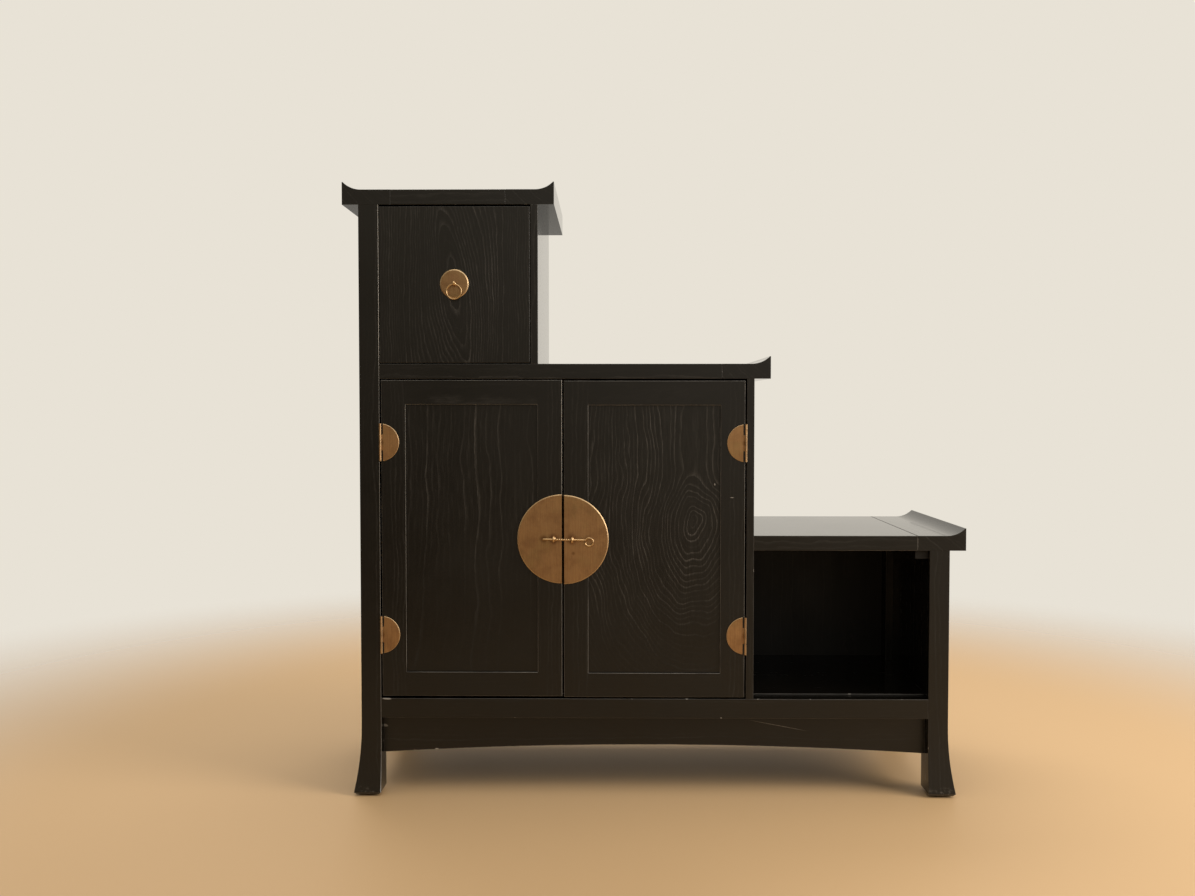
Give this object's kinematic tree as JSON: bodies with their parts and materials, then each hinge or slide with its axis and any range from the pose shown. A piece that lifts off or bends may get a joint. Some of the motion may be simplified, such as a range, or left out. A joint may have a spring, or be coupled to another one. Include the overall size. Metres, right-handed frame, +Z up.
{
  "type": "stepped chest",
  "caption": "Stepped black wooden chest with a drawer box, a framed two-door cabinet with a round split lock plate, and a low open compartment on flared feet.",
  "frame": {"origin": "on the floor, in the middle of the bounding box", "axes": "+X to the right seen from the front, +Y from the front to the back, +Z up"},
  "size_m": [1.044, 0.3632, 1.033],
  "materials": {
    "black_lacquer_wood": "satin black lacquer over open-grained ash",
    "inner_wood": "matt dark stain",
    "back_wood": "matt dark stain on plywood",
    "aged_brass": "aged, softly brushed",
    "glide": "dark nylon"
  },
  "bodies": {
    "carcass": {"back_bottom_rail": "black_lacquer_wood", "cabinet_back_panel": "back_wood", "cabinet_shelf": "black_lacquer_wood", "compartment_back_panel": "back_wood", "divider_board": "black_lacquer_wood", "door_stop": "inner_wood", "drawer_runners": "inner_wood", "drawer_stop": "inner_wood", "floor_batten": "inner_wood", "floor_board": "black_lacquer_wood", "foot_glides": "glide", "front_apron": "black_lacquer_wood", "front_bottom_rail": "black_lacquer_wood", "left_apron": "black_lacquer_wood", "left_hinge_pins": "aged_brass", "left_hinge_post_leaves": "aged_brass", "left_side_panels": "black_lacquer_wood", "left_side_rails": "black_lacquer_wood", "leg_back_left": "black_lacquer_wood", "leg_back_right": "black_lacquer_wood", "leg_front_left": "black_lacquer_wood", "leg_front_right": "black_lacquer_wood", "lower_board": "black_lacquer_wood", "lower_board_cleat": "inner_wood", "lower_board_end": "black_lacquer_wood", "middle_board": "black_lacquer_wood", "middle_board_end": "black_lacquer_wood", "right_apron": "black_lacquer_wood", "right_hinge_pins": "aged_brass", "right_hinge_post_leaves": "aged_brass", "right_side_panel": "black_lacquer_wood", "right_side_rails": "black_lacquer_wood", "shelf_cleats": "inner_wood", "top_board": "black_lacquer_wood", "top_board_end_left": "black_lacquer_wood", "top_board_end_right": "black_lacquer_wood", "upper_back_panel": "back_wood", "upper_side_board": "black_lacquer_wood"},
    "left_door": {"left_door_hinge_stile": "black_lacquer_wood", "left_door_meeting_stile": "black_lacquer_wood", "left_door_panel": "black_lacquer_wood", "left_door_rails": "black_lacquer_wood", "left_hinge_discs": "aged_brass", "left_latch_eyelet": "aged_brass", "left_lock_plate": "aged_brass"},
    "right_door": {"right_door_hinge_stile": "black_lacquer_wood", "right_door_meeting_stile": "black_lacquer_wood", "right_door_panel": "black_lacquer_wood", "right_door_rails": "black_lacquer_wood", "right_hinge_discs": "aged_brass", "right_latch_eyelet": "aged_brass", "right_lock_plate": "aged_brass"},
    "drawer": {"drawer_front": "black_lacquer_wood", "drawer_sides": "inner_wood", "drawer_back": "inner_wood", "drawer_bottom": "inner_wood", "pull_plate": "aged_brass", "pull_eyelet": "aged_brass"},
    "pull_ring": {"pull_ring": "aged_brass"},
    "latch_pin": {"latch_pin": "aged_brass"}
  },
  "joints": [
    {"name": "left_door_swing", "type": "hinge", "parent": "carcass", "child": "left_door", "pos_m": [-0.46, -0.17058, 0.4367], "axis": [0, 0, -1], "range_deg": [0, 165]},
    {"name": "right_door_swing", "type": "hinge", "parent": "carcass", "child": "right_door", "pos_m": [0.153, -0.17058, 0.4355], "axis": [0, 0, 1], "range_deg": [0, 165]},
    {"name": "drawer_slide", "type": "slide", "parent": "carcass", "child": "drawer", "axis": [0, -1, 0], "range_m": [0, 0.24]},
    {"name": "ring_swing", "type": "hinge", "parent": "drawer", "child": "pull_ring", "pos_m": [-0.3345, -0.17597, 0.86235], "axis": [-1, 0, 0], "range_deg": [-5, 160]},
    {"name": "latch_pin_slide", "type": "slide", "parent": "right_door", "child": "latch_pin", "axis": [1, 0, 0], "range_m": [0, 0.04]}
  ]
}
